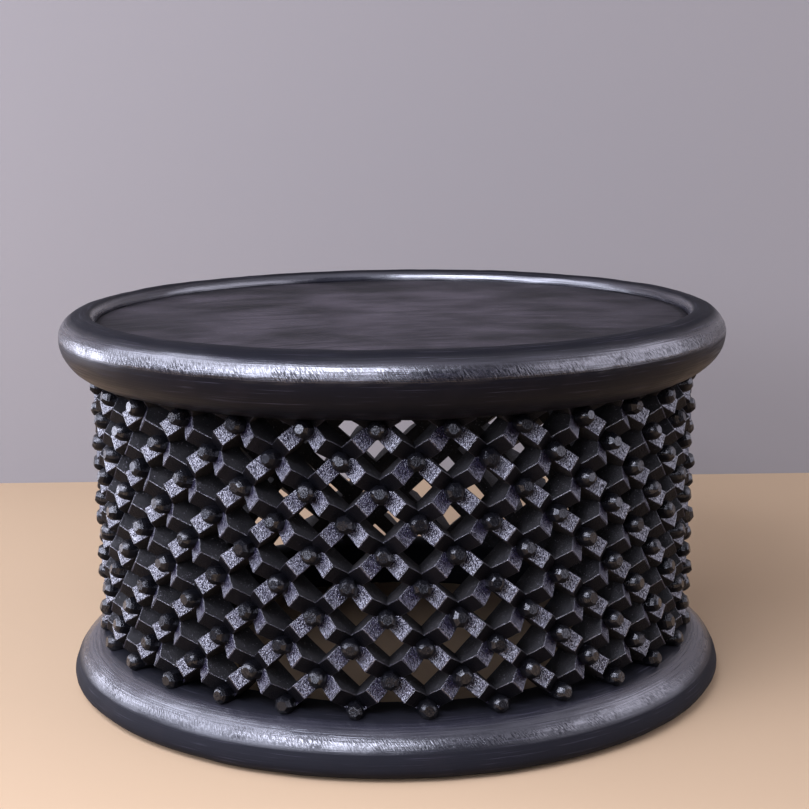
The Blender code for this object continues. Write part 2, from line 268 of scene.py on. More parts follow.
# Rasped and rubbed hardwood under black stain and wax: a broad soft gleam, broken by streaks and hatching
def rolledWood(name, look):
    material, tree, shader = newMaterial(name)
    place = addNode(tree, "ShaderNodeTexCoord").outputs["Object"]
    roll = addNode(tree, "ShaderNodeUVMap", uv_map="roll")
    rollSides = addNode(tree, "ShaderNodeSeparateXYZ", [roll])
    aroundRoll, overRoll = rollSides.outputs[0], rollSides.outputs[1]
    flat = addNode(tree, "ShaderNodeSeparateXYZ", [place])
    long, wide = perMetre / look["streakLong"], perMetre / look["streakWide"]
    streakSpace = addNode(tree, "ShaderNodeCombineXYZ", [
        addNode(tree, "ShaderNodeMath", [flat.outputs[0], long], operation="MULTIPLY"),
        addNode(tree, "ShaderNodeMath", [flat.outputs[1], long], operation="MULTIPLY"),
        addNode(tree, "ShaderNodeMath", [overRoll, wide], operation="MULTIPLY")])
    streaks = addNode(tree, "ShaderNodeTexNoise",
                      {"Vector": streakSpace, "Scale": 1, "Detail": 3, "Roughness": 0.6})
    leaning = addNode(tree, "ShaderNodeMath", [overRoll, look["hatchLean"], aroundRoll],
                      operation="MULTIPLY_ADD")
    hatchSpace = addNode(tree, "ShaderNodeCombineXYZ", [
        addNode(tree, "ShaderNodeMath", [leaning, perMetre / look["hatchWide"]], operation="MULTIPLY"),
        addNode(tree, "ShaderNodeMath", [overRoll, perMetre / look["hatchLong"]], operation="MULTIPLY"), 0])
    hatch = addNode(tree, "ShaderNodeTexNoise",
                    {"Vector": hatchSpace, "Scale": 1, "Detail": 2, "Roughness": 0.6})
    patches = addNode(tree, "ShaderNodeTexNoise",
                      {"Vector": place, "Scale": look["patchesPerMetre"], "Detail": 4, "Roughness": 0.62})

    # rasp marks lie on the outer part of the roll, more in some places than in others
    starting = addNode(tree, "ShaderNodeMapRange", [overRoll, *look["hatchFrom"], 0, 1])
    ending = addNode(tree, "ShaderNodeMapRange", [overRoll, *look["hatchTo"], 1, 0])
    outer = addNode(tree, "ShaderNodeMath", [starting, ending], operation="MULTIPLY")
    spread = addNode(tree, "ShaderNodeMapRange", [patches, *look["spreadFrom"], look["spreadLeast"], 1])
    hatched = addNode(tree, "ShaderNodeMath", [outer, spread], operation="MULTIPLY")
    hatchDepth = addNode(tree, "ShaderNodeMath", [hatched, look["hatchDepth"]], operation="MULTIPLY")
    hatchHeight = addNode(tree, "ShaderNodeMath", [hatch, hatchDepth], operation="MULTIPLY")
    height = addNode(tree, "ShaderNodeMath", [streaks, look["streakDepth"], hatchHeight],
                     operation="MULTIPLY_ADD")
    bump = addNode(tree, "ShaderNodeBump", {"Strength": 1, "Distance": 1 / perMetre, "Height": height})

    # wax is thin in the hollows of the marks, and worn off the top and, on the foot, off the lower roll
    lines = addNode(tree, "ShaderNodeMapRange", [streaks, *look["streakFrom"], look["streakLeast"], 1])
    marks = addNode(tree, "ShaderNodeMapRange", [hatch, *look["hatchBetween"], look["pores"], 1])
    marked = addNode(tree, "ShaderNodeMix", [hatched, lines, marks])
    normal = addNode(tree, "ShaderNodeNewGeometry").outputs["Normal"]
    facing = addNode(tree, "ShaderNodeSeparateXYZ", [normal])
    polished = addNode(tree, "ShaderNodeMapRange", [facing.outputs[2], *look["mattFrom"], 1, look["mattWax"]])
    scuffed = addNode(tree, "ShaderNodeMapRange", [overRoll, *look["waxTo"], 1, 0])
    lasting = addNode(tree, "ShaderNodeMath", [polished, scuffed], operation="MULTIPLY")
    cover = addNode(tree, "ShaderNodeMath", [marked, lasting], operation="MULTIPLY")
    coat = addNode(tree, "ShaderNodeMath", [cover, waxReach(tree, look)], operation="MULTIPLY")

    rubbed = addNode(tree, "ShaderNodeMapRange", [streaks, *look["roughFrom"], *look["rough"]])
    roughness = addNode(tree, "ShaderNodeMix", [lasting, look["bareRough"], rubbed])
    brownish = addNode(tree, "ShaderNodeMapRange", [patches, *look["brownFrom"], 0, 1])
    stained = addNode(tree, "ShaderNodeMix", [brownish, linear(look["stain"]), linear(look["brown"])],
                      data_type="RGBA")
    # fibres grey where the wax lies, which follows the up-facing gleam of the roll: grey wax and a painted
    # sheen
    greyedAndSheen = addNode(tree, "ShaderNodeMapRange", [coat, *look["greyAndSheenFrom"], 0, look["greyingAndSheen"]])
    fibrous = addNode(tree, "ShaderNodeMix", [greyedAndSheen, stained, linear(look["fibre"])], data_type="RGBA")
    worn = addNode(tree, "ShaderNodeMapRange", [streaks, *look["wornFrom"], 0, 1])
    colour = addNode(tree, "ShaderNodeMix", [worn, fibrous, linear(look["worn"])], data_type="RGBA")
    woodOn(tree, shader, look, colour, roughness, bump)
    waxOn(tree, shader, look, coat, bump)
    return material


board = {"radius": 0.3559, "topZ": 0.4360, "undersideZ": 0.4060, "outlineStep": 0.012, "uneven": 0.0006}

boardLook = {
    "stain": "#0f0d11",
    "light": "#443e43",
    "lightFrom": (0.15, 0.38),
    "dust": "#77737a",
    "bowShift": (-0.12, 0.75, 0),  # strokes bow round a point 0.12 m to the right and 0.75 m in front
    "bowReach": 800,  # mm from there to the middle of the seat, about
    "streakWide": 6.0,
    "streakLong": 190.0,
    "depth": 0.30,
    "rough": (0.50, 0.66),
    "roughFrom": (0.35, 0.65),
    "gloss": 0.16,
    "patchesPerMetre": 9,
    "middle": (0.03, 0.02),  # where the seat is most rubbed and palest
    "reach": (0.04, 0.36),  # metres from there, between which the seat goes from rubbed pale to darker towards the rim, a painted shade
    "rubbedAndShaded": (1.12, 0.74),
    "specksPerMetre": 300,
    "dustFrom": (0.70, 0.80),
    "dustMost": 0.8,
    "gatherFrom": (0.44, 0.62),
    "gatherLeast": 0.1,
}


# Adzed and scraped seat board, end grain drunk dull with stain: brown-black, streaked across and dusty
def scrapedWood(name, look):
    material, tree, shader = newMaterial(name)
    place = addNode(tree, "ShaderNodeTexCoord").outputs["Object"]
    patches = addNode(tree, "ShaderNodeTexNoise",
                      {"Vector": place, "Scale": look["patchesPerMetre"], "Detail": 3, "Roughness": 0.55})
    bow = addNode(tree, "ShaderNodeMapping", {"Vector": place, "Location": look["bowShift"]})
    parts = addNode(tree, "ShaderNodeSeparateXYZ", [bow])
    reach = addNode(tree, "ShaderNodeVectorMath", [bow], operation="LENGTH").outputs["Value"]
    turn = addNode(tree, "ShaderNodeMath", [parts.outputs[0], parts.outputs[1]], operation="ARCTAN2")
    wide, long = perMetre / look["streakWide"], look["bowReach"] / look["streakLong"]
    strokeSpace = addNode(tree, "ShaderNodeCombineXYZ", [
        addNode(tree, "ShaderNodeMath", [reach, wide], operation="MULTIPLY"),
        addNode(tree, "ShaderNodeMath", [turn, long], operation="MULTIPLY"), 0])
    strokes = addNode(tree, "ShaderNodeTexNoise",
                      {"Vector": strokeSpace, "Scale": 1, "Detail": 5, "Roughness": 0.68})
    height = addNode(tree, "ShaderNodeMath", [strokes, look["depth"]], operation="MULTIPLY")
    bump = addNode(tree, "ShaderNodeBump", {"Strength": 1, "Distance": 1 / perMetre, "Height": height})
    roughness = addNode(tree, "ShaderNodeMapRange", [strokes, *look["roughFrom"], *look["rough"]])

    # the middle is rubbed pale, and the part along the rim is darkened as painted shade; dust gathers in some
    # places
    middle = (*look["middle"], board["topZ"])
    centred = addNode(tree, "ShaderNodeVectorMath", [place, middle], operation="DISTANCE").outputs["Value"]
    rubbed = addNode(tree, "ShaderNodeMapRange", [centred, *look["reach"], *look["rubbedAndShaded"]])
    streaked = addNode(tree, "ShaderNodeMath", [strokes, rubbed], operation="MULTIPLY")
    paleAndShaded = addNode(tree, "ShaderNodeMath", [streaked, patches], operation="MULTIPLY")
    lighter = addNode(tree, "ShaderNodeMapRange", [paleAndShaded, *look["lightFrom"], 0, 1])
    scraped = addNode(tree, "ShaderNodeMix", [lighter, linear(look["stain"]), linear(look["light"])],
                      data_type="RGBA")
    specks = addNode(tree, "ShaderNodeTexNoise",
                     {"Vector": place, "Scale": look["specksPerMetre"], "Detail": 1, "Roughness": 0.5})
    dust = addNode(tree, "ShaderNodeMapRange", [specks, *look["dustFrom"], 0, look["dustMost"]])
    gathered = addNode(tree, "ShaderNodeMapRange", [patches, *look["gatherFrom"], look["gatherLeast"], 1])
    dustHere = addNode(tree, "ShaderNodeMath", [dust, gathered], operation="MULTIPLY")
    dusty = addNode(tree, "ShaderNodeMix", [dustHere, scraped, linear(look["dust"])], data_type="RGBA")
    woodOn(tree, shader, look, dusty, roughness, bump)
    return material


# knobs are rubbed smooth, so they are nowhere dry and hardly fibrous
knobLook = {**carvedLook, "brown": "#0b0b0d", "fibreDepth": 0.35, "pores": 0.5, "greyingAndSheen": 0.0,
            "rough": (0.34, 0.46), "waxRough": 0.13, "waxIor": 1.6, "dryShare": 0.0}

# the foot is smoother than the rim and loses its wax over the lower part of its roll
footLook = {**turnedLook, "mattFrom": (0.88, 1.0), "hatchFrom": (0.030, 0.038), "hatchTo": (0.046, 0.054),
            "waxTo": (0.040, 0.052), "waxedFrom": (0.02, 0.24), "gloss": 0.20, "rough": (0.42, 0.55)}

wallWood = carvedWood("chiselled black-stained hardwood", carvedLook)
knobWood = carvedWood("rubbed knobs of black-stained hardwood", knobLook)
rimWood = rolledWood("rasped and waxed black hardwood", turnedLook)
ringWood = rolledWood("rubbed black hardwood foot", footLook)
boardWood = scrapedWood("scraped black hardwood seat", boardLook)
print("materials made")


# Turned and rolled pieces

drum = {
    "radius": 0.400,
    "height": 0.450,
    "segments": 288,
    "outlineStep": 0.004,  # about the step along a straight run of an outline
    "hollows": 14,  # noise scale of the hand-worked hollows, and of the ripples on them
    "ripples": 46,
    "rippleShift": (3, 1, 7),
    "rippleShare": 0.45,
    "crestRadius": 0.3615,  # ridge crests of the wall
    "wallDepth": 0.042,
}

rim = {
    "noseZ": 0.4214,
    "crest": 0.3680,  # radius of the rim's highest line
    "dish": 0.3562,
    "lipDrop": 0.0135,
    "belly": 0.3435,  # radius where the underside becomes flat
    "undersideZ": 0.3740,
    "ledge": 0.3012,
    "ledgeZ": 0.4057,
    "shoulderSteps": 22,
    "bellySteps": 26,
    "lipSteps": 8,
    "uneven": 0.0009,
}

ring = {
    "nose": 0.3985,
    "noseZ": 0.0140,
    "height": 0.0580,
    "shelf": 0.3520,
    "heel": 0.0245,
    "inner": 0.3140,
    "fullness": 1.7,
    "slopeSteps": 26,
    "heelSteps": 14,
    "uneven": 0.0009,
}


# Points along a rounded corner between two quarter turns; fullness 2 is an ellipse
def corner(centre, wide, high, start, end, steps, fullness=2.0):
    points = []
    for step in range(steps + 1):
        turn = (start + (end - start) * step / steps) * pi / 2
        across = abs(cos(turn)) ** (2 / fullness) * (1 if cos(turn) > 0 else -1)
        up = abs(sin(turn)) ** (2 / fullness) * (1 if sin(turn) > 0 else -1)
        points.append((centre[0] + wide * across, centre[1] + high * up))
    return points


# Adds points along the straight runs, so that the unevenness has something to move
def closer(outline, step):
    points = []
    for start, end in zip(outline, outline[1:]):
        parts = max(1, round(hypot(end[0] - start[0], end[1] - start[1]) / step))
        wide, high = end[0] - start[0], end[1] - start[1]
        points += [(start[0] + wide * i / parts, start[1] + high * i / parts) for i in range(parts)]
    return points + [outline[-1]]


# Turns an outline of (radius, height) points about Z, with metres round and over it as its UV map
def turnedPiece(name, outline, material, closed, uneven):
    bm = bmesh.new()
    rolled = bm.loops.layers.uv.new("roll")
    segments = drum["segments"]
    rings = []
    for radius, z in outline:
        if radius == 0:
            rings.append([bm.verts.new((0, 0, z))] * segments)
            continue
        turns = [2 * pi * i / segments for i in range(segments)]
        rings.append([bm.verts.new((radius * sin(turn), radius * cos(turn), z)) for turn in turns])
    lengths = [0]
    for start, end in zip(outline, outline[1:] + outline[:1]):
        lengths.append(lengths[-1] + hypot(end[0] - start[0], end[1] - start[1]))
    for k in range(len(outline) if closed else len(outline) - 1):
        lower, upper = rings[k], rings[(k + 1) % len(rings)]
        for i in range(segments):
            j = (i + 1) % segments
            corners = [(lower[i], i, k), (lower[j], i + 1, k), (upper[j], i + 1, k + 1), (upper[i], i, k + 1)]
            kept = []
            for entry in corners:
                if entry[0] not in [e[0] for e in kept]:
                    kept.append(entry)
            face = bm.faces.new([entry[0] for entry in kept])
            face.smooth = True
            for loop, entry in zip(face.loops, kept):
                loop[rolled].uv = (2 * pi * drum["radius"] * entry[1] / segments, lengths[entry[2]])
    bmesh.ops.recalc_face_normals(bm, faces=bm.faces)
    bm.normal_update()
    # hand-worked unevenness: long hollows with shallower, shorter ones on them
    moves = []
    for vert in bm.verts:
        slow = noise.noise(vert.co * drum["hollows"])
        quick = noise.noise(vert.co * drum["ripples"] + Vector(drum["rippleShift"]))
        moves.append((vert, vert.normal * uneven * (slow + drum["rippleShare"] * quick)))
    for vert, move in moves:
        vert.co += move
    mesh = bpy.data.meshes.new(name)
    bm.to_mesh(mesh)
    bm.free()
    mesh.materials.append(material)
    return newPiece(name, mesh)


def makeRim():
    crest, noseZ, lipDrop = rim["crest"], rim["noseZ"], rim["lipDrop"]
    shoulder = corner((crest, noseZ), drum["radius"] - crest, drum["height"] - noseZ,
                      1, 0, rim["shoulderSteps"])
    belly = corner((rim["belly"], noseZ), drum["radius"] - rim["belly"], noseZ - rim["undersideZ"],
                   0, -1, rim["bellySteps"])
    lip = corner((crest, drum["height"] - lipDrop), crest - rim["dish"], lipDrop, 2, 1, rim["lipSteps"])
    under = [(rim["ledge"], rim["undersideZ"]), (rim["ledge"], rim["ledgeZ"]), (rim["dish"], rim["ledgeZ"])]
    outline = closer(shoulder + belly[1:] + under + lip[:-1], drum["outlineStep"])
    piece = turnedPiece("carvedRim", outline, rimWood, True, rim["uneven"])
    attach(piece, "root")
    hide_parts("seat_rim")


def makeBoard():
    outline = closer([(0, board["topZ"]), (board["radius"], board["topZ"]),
                      (board["radius"], board["undersideZ"]), (0, board["undersideZ"])],
                     board["outlineStep"])
    piece = turnedPiece("carvedSeat", outline, boardWood, False, board["uneven"])
    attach(piece, "root")
    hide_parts("seat_board")


def makeRing():
    nose, noseZ, shelf = ring["nose"], ring["noseZ"], ring["shelf"]
    slope = corner((shelf, noseZ), nose - shelf, ring["height"] - noseZ,
                   1, 0, ring["slopeSteps"], ring["fullness"])
    heel = corner((nose - ring["heel"], noseZ), ring["heel"], noseZ, 0, -1, ring["heelSteps"])
    inside = [(ring["inner"], 0), (ring["inner"], ring["height"])]
    outline = closer(slope + heel[1:] + inside, drum["outlineStep"])
    piece = turnedPiece("carvedFoot", outline, ringWood, True, ring["uneven"])
    for vert in piece.data.vertices:
        vert.co.z = max(vert.co.z, 0)
    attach(piece, "root")
    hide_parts("base_ring")


makeRim()
makeBoard()
makeRing()
print("rim, seat and foot made")


# Openwork wall

wall = {
    "posts": 29,
    "rows": 10,
    "firstRowZ": 0.0660,
    "rowStep": 0.03336,
    "rowLean": -0.0013,
    "frontTurn": 0.0925,
    "barWidth": 0.0188,
    "valley": 0.0198,  # depth at which the facets of a crossing would meet
    "crestWear": 0.0010,  # half the width of the worn top of a ridge
    "strokeStep": 0.62,  # where the first chisel stroke ends, as a share of the arm
    "edgeWear": 0.0007,
    "armEnd": 0.0002,  # depth at which an arm ends, at the seam
    "leastReach": 0.0001,  # keeps the strokes of a facet above zero
    "backMargin": 0.001,  # edges nearer to the back than this stay sharp
    "placeDigits": 7,  # corners that agree to this many digits are one
    "footZ": 0.0560,
    "headZ": 0.3765,
    "uneven": 0.0026,
    "ripple": 0.0014,
    "unevenScale": 16,
    "rippleScale": 75,
    "weld": 0.00002,
    "seed": 11,
    "seedStep": 17,
}
wall["halfPitch"] = pi * drum["crestRadius"] / wall["posts"]
wall["barPitch"] = hypot(wall["halfPitch"], wall["rowStep"])

knob = {
    "radius": 0.0106,
    "tip": -0.0042,  # depth of the tip, outside the ridge crests
    "dome": 0.0074,
    "root": 0.0240,
    "rootShare": 1.02,  # width at the root
    "shoulderDrop": 0.0006,
    "edge": (0.90, 0.0030),  # width as a share, and how far it stands out from the shoulder
    "slope": (0.68, 0.0016),  # width as a share, and how far it lies behind the tip
    "slant": 0.25,
    "sideShift": 0.22,  # how far a side strays round the knob, in sides
    "swell": 0.10,
    "swellStep": 1.7,  # step through the noise from one side to the next
    "lift": 0.0016,
    "liftStep": 2.3,
    # sides, radius of the flat tip, and whether it is rubbed round
    "shapes": [(7, 0.0056, False), (9, 0.0048, True), (8, 0.0058, True), (8, 0.0054, False)],
    # least and most that one knob is spun, leant and scaled
    "spin": ((0, 0, 0), (0, 6.28, 0)),
    "lean": ((-0.30, 0, -0.12), (-0.10, 0, 0.12)),
    "size": ((0.93, 0.94, 0.93), (1.05, 1.06, 1.05)),
}


# One crossing of two bars, flat: x along the wall, y the depth behind the ridge crests, z up.
# Its four arms reach to the ridge crests; those on the capped side are closed there.
def carvedCrossing(name, cappedSide, lowCut=None, highCut=None):
    bm = bmesh.new()
    along = bm.loops.layers.float.new("along")
    wear = bm.loops.layers.float.new("wear")
    arm = wall["barPitch"] / 2
    half = wall["barWidth"] / 2
    across = Vector((wall["halfPitch"], 0, wall["rowStep"])) / wall["barPitch"]
    tall = half / across.x
    broad = half / across.z
    back = drum["wallDepth"]
    stroke = arm * wall["strokeStep"]
    facetEnd = arm - wall["crestWear"]
    made = {}

    def point(x, y, z):
        key = tuple(round(value, wall["placeDigits"]) for value in (x, y, z))
        if key not in made:
            made[key] = bm.verts.new((x, y, z))
        return made[key]

    # a facet is given how far along its arm a corner lies; all other faces are marked -1
    def face(corners, reach=None, isWorn=False):
        for loop in bm.faces.new(corners).loops:
            loop[along] = reach(loop.vert.co) if reach else -1
            loop[wear] = 1 if isWorn else 0

    def depth(reach):
        return wall["valley"] * (1 - reach / arm)

    outline = []
    for right, up in ((1, 1), (-1, 1), (-1, -1), (1, -1)):
        hasArm = up > 0 or lowCut is None
        way = Vector((right * across.x, 0, up * across.z))
        side = Vector((right * across.z, 0, -up * across.x))  # towards the beside corner

        def at(reach, sideways, y):
            spot = way * reach + side * sideways
            return point(spot.x, y, spot.z)

        def reachOf(co):
            return max(co.x * way.x + co.z * way.z, wall["leastReach"])

        beside = point(right * broad, depth(right * broad * way.x), 0)
        above = point(0, depth(up * tall * way.z), up * tall)
        middle = point(0, wall["valley"], 0)
        s1, s2 = at(stroke, half, depth(stroke)), at(stroke, -half, depth(stroke))
        f1, f2 = at(facetEnd, half, depth(facetEnd)), at(facetEnd, -half, depth(facetEnd))
        e1, e2 = at(arm, half, wall["armEnd"]), at(arm, -half, wall["armEnd"])
        b1, b2 = at(arm, half, back), at(arm, -half, back)
        besideBack = point(right * broad, back, 0)
        aboveBack = point(0, back, up * tall)
        if not hasArm:
            face([middle, beside, above], reachOf)
            face([beside, besideBack, aboveBack, above])
            outline += [besideBack, aboveBack] if right * up > 0 else [aboveBack, besideBack]
            continue
        face([middle, beside, s1, s2, above], reachOf)
        face([s1, f1, f2, s2], reachOf)
        face([f1, e1, e2, f2], isWorn=True)
        face([beside, besideBack, b1, e1, f1, s1])
        face([above, s2, f2, e2, b2, aboveBack])
        isEnd = up > 0 and highCut is not None
        if right == cappedSide or isEnd:
            face([e1, b1, b2, e2])
        outline += [besideBack, b1, b2, aboveBack] if right * up > 0 else [aboveBack, b2, b1, besideBack]
    ring = []
    for vert in outline:
        if vert not in ring:
            ring.append(vert)
    face(ring)
    bmesh.ops.recalc_face_normals(bm, faces=bm.faces)
    middleFace = max(bm.faces, key=lambda f: f.calc_area())
    if middleFace.normal.y < 0:
        bmesh.ops.reverse_faces(bm, faces=bm.faces)
    # long edges rubbed off a little
    rubbed = []
    for edge in bm.edges:
        ends = [v.co for v in edge.verts]
        if all(co.y < back - wall["backMargin"] for co in ends) and len(edge.link_faces) == 2:
            kinds = [f.loops[0][along] > 0 or f.loops[0][wear] > 0 for f in edge.link_faces]
            if kinds[0] != kinds[1]:
                rubbed.append(edge)
    worn = bmesh.ops.bevel(bm, geom=rubbed, offset=wall["edgeWear"], offset_type="OFFSET", segments=1,
                           affect="EDGES", clamp_overlap=True)
    for strip in worn["faces"]:
        for loop in strip.loops:
            loop[along] = -1
            loop[wear] = 1
    for height, clearUp in ((lowCut, False), (highCut, True)):
        if height is not None:
            geometry = bm.verts[:] + bm.edges[:] + bm.faces[:]
            cutLine = bmesh.ops.bisect_plane(bm, geom=geometry, plane_co=(0, 0, height),
                                             plane_no=(0, 0, 1 if clearUp else -1), clear_outer=True)
            ends = [e for e in cutLine["geom_cut"] if isinstance(e, bmesh.types.BMEdge)]
            bmesh.ops.holes_fill(bm, edges=ends, sides=0)
    for f in bm.faces:
        f.smooth = True
    for edge in bm.edges:
        edge.smooth = len(edge.link_faces) < 2
    mesh = bpy.data.meshes.new(name)
    bm.to_mesh(mesh)
    bm.free()
    return bpy.data.objects.new(name, mesh)


# One stud: chiselled sides, facets up to a small blunt tip; made flat, standing towards -Y
def carvedKnob(name, sides, tipRadius, isRubbed):
    bm = bmesh.new()
    along = bm.loops.layers.float.new("along")
    wear = bm.loops.layers.float.new("wear")
    shoulder = knob["tip"] + knob["dome"]
    edgeShare, edgeRise = knob["edge"]
    slopeShare, slopeDrop = knob["slope"]
    levels = [(knob["radius"] * knob["rootShare"], knob["root"]),
              (knob["radius"], shoulder + knob["shoulderDrop"]),
              (knob["radius"] * edgeShare, shoulder - edgeRise),
              (knob["radius"] * slopeShare, knob["tip"] + slopeDrop),
              (tipRadius, knob["tip"])]
    slantX, slantZ = noise.noise(Vector((sides, 2, 5))), noise.noise(Vector((sides, 8, 1)))
    slant = Vector((slantX, 0, slantZ)) * knob["slant"]
    rings = []
    for level, (radius, y) in enumerate(levels):
        row = []
        for i in range(sides):
            turn = 2 * pi * (i + knob["sideShift"] * noise.noise(Vector((i, sides, 3)))) / sides
            swell = 1 + knob["swell"] * noise.noise(Vector((i * knob["swellStep"], sides, 0)))
            lift = knob["lift"] * noise.noise(Vector((i * knob["liftStep"], sides, 9)))
            lift = lift if level in (1, 2, 3) else 0  # the root and the tip are not lifted
            spot = Vector((radius * swell * cos(turn), y + lift, radius * swell * sin(turn)))
            spot.y += spot.dot(slant) if level > 2 else 0
            row.append(bm.verts.new(spot))
        rings.append(row)
    for lower, upper in zip(rings, rings[1:]):
        for i in range(sides):
            j = (i + 1) % sides
            bm.faces.new([lower[i], lower[j], upper[j], upper[i]])
    bm.faces.new(rings[-1])
    bm.faces.new(rings[0])
    bmesh.ops.recalc_face_normals(bm, faces=bm.faces)
    for f in bm.faces:
        f.smooth = isRubbed and len(f.verts) == 4
        for loop in f.loops:
            loop[along] = -1
            loop[wear] = 0
    mesh = bpy.data.meshes.new(name)
    bm.to_mesh(mesh)
    bm.free()
    return bpy.data.objects.new(name, mesh)


patterns = bpy.data.collections.new("crossing patterns")
studs = bpy.data.collections.new("knob patterns")
lowCut = wall["footZ"] - wall["firstRowZ"]
highCut = wall["headZ"] - wall["firstRowZ"] - wall["rowStep"] * (wall["rows"] - 1)
patterns.objects.link(carvedCrossing("crossing 0 foot", -1, lowCut=lowCut))
patterns.objects.link(carvedCrossing("crossing 1 left", -1))
patterns.objects.link(carvedCrossing("crossing 2 right", 1))
patterns.objects.link(carvedCrossing("crossing 3 head", 1, highCut=highCut))
for number, (sides, tipRadius, isRubbed) in enumerate(knob["shapes"]):
    studs.objects.link(carvedKnob(f"knob {number}", sides, tipRadius, isRubbed))


# Geometry Nodes: sets crossings and knobs up a zigzag post, bends it round the drum and leaves it uneven
def postTree():
    tree = bpy.data.node_groups.new("carved post", "GeometryNodeTree")
    kinds = {"Crossings": "NodeSocketCollection", "Knobs": "NodeSocketCollection", "Post": "NodeSocketInt",
             "Posts": "NodeSocketInt", "Rows": "NodeSocketInt", "Half Pitch": "NodeSocketFloat",
             "First Row": "NodeSocketFloat", "Row Step": "NodeSocketFloat", "Row Lean": "NodeSocketFloat",
             "Crest Radius": "NodeSocketFloat", "Front Turn": "NodeSocketFloat", "Uneven": "NodeSocketFloat",
             "Ripple": "NodeSocketFloat", "Seed": "NodeSocketInt", "Wall Wood": "NodeSocketMaterial",
             "Knob Wood": "NodeSocketMaterial"}
    ids = {name: tree.interface.new_socket(name, in_out="INPUT", socket_type=kind).identifier
           for name, kind in kinds.items()}
    tree.interface.new_socket("Geometry", in_out="OUTPUT", socket_type="NodeSocketGeometry")
    given = addNode(tree, "NodeGroupInput").outputs
    index = addNode(tree, "GeometryNodeInputIndex")
    odd = addNode(tree, "ShaderNodeMath", [index, 2], operation="MODULO")
    start = addNode(tree, "ShaderNodeCombineXYZ", [0, 0, given["First Row"]])
    step = addNode(tree, "ShaderNodeCombineXYZ", [0, 0, given["Row Step"]])
    line = addNode(tree, "GeometryNodeMeshLine",
                   {"Count": given["Rows"], "Start Location": start, "Offset": step}, mode="OFFSET")
    sideways = addNode(tree, "ShaderNodeMath", [odd, given["Half Pitch"]], operation="MULTIPLY")
    zigzag = addNode(tree, "GeometryNodeSetPosition",
                     {"Geometry": line, "Offset": addNode(tree, "ShaderNodeCombineXYZ", [sideways, 0, 0])})

    # which pattern: the foot at the bottom, the head at the top, left and right in turn between
    near = 0.1  # row numbers this close are the same
    last = addNode(tree, "ShaderNodeMath", [given["Rows"], 1], operation="SUBTRACT")
    isHead = addNode(tree, "ShaderNodeMath", [index, last, near], operation="COMPARE")
    isFoot = addNode(tree, "ShaderNodeMath", [index, 0, near], operation="COMPARE")
    between = addNode(tree, "ShaderNodeMath", [odd, 1], operation="ADD")
    kind = addNode(tree, "ShaderNodeMath", [between, isHead], operation="ADD")
    which = addNode(tree, "ShaderNodeMath", [kind, isFoot], operation="SUBTRACT")
    picked = addNode(tree, "GeometryNodeCollectionInfo",
                     {"Collection": given["Crossings"], "Separate Children": True, "Reset Children": True})
    bars = addNode(tree, "GeometryNodeInstanceOnPoints",
                   {"Points": zigzag, "Instance": picked, "Pick Instance": True, "Instance Index": which})

    # each knob has its own shape, and is spun, leant and scaled its own way
    seed = addNode(tree, "ShaderNodeMath", [given["Seed"], wall["seedStep"], given["Post"]],
                   operation="MULTIPLY_ADD")
    shape = addNode(tree, "FunctionNodeRandomValue",
                    {"Min": 0, "Max": len(knob["shapes"]) - 1, "ID": index, "Seed": seed}, data_type="INT")
    spin, lean, size = [addNode(tree, "FunctionNodeRandomValue",
                                {"Min": knob[move][0], "Max": knob[move][1], "ID": index, "Seed": seed},
                                data_type="FLOAT_VECTOR") for move in ("spin", "lean", "size")]
    pickedKnob = addNode(tree, "GeometryNodeCollectionInfo",
                         {"Collection": given["Knobs"], "Separate Children": True, "Reset Children": True})
    knobs = addNode(tree, "GeometryNodeInstanceOnPoints",
                    {"Points": zigzag, "Instance": pickedKnob, "Pick Instance": True, "Instance Index": shape,
                     "Rotation": spin, "Scale": size})
    leaning = addNode(tree, "GeometryNodeRotateInstances",
                      {"Instances": knobs, "Rotation": lean, "Local Space": False,
                       "Pivot Point": addNode(tree, "GeometryNodeInputPosition")})
    isKnob = addNode(tree, "GeometryNodeStoreNamedAttribute",
                     {"Geometry": leaning, "Name": "knob", "Value": 1.0}, data_type="FLOAT",
                     domain="INSTANCE")
    joined = addNode(tree, "GeometryNodeJoinGeometry")
    tree.links.new(isKnob.outputs[0], joined.inputs[0])
    tree.links.new(bars.outputs[0], joined.inputs[0])

    # a number for each crossing, which moves its chisel strokes
    chance = addNode(tree, "FunctionNodeRandomValue", {"Min": 0.0, "Max": 1.0, "Seed": seed},
                     data_type="FLOAT")
    cut = addNode(tree, "GeometryNodeStoreNamedAttribute",
                  {"Geometry": joined, "Name": "cut", "Value": chance}, data_type="FLOAT", domain="INSTANCE")
    solid = addNode(tree, "GeometryNodeRealizeInstances", [cut])
    welded = addNode(tree, "GeometryNodeMergeByDistance", {"Geometry": solid, "Distance": wall["weld"]})

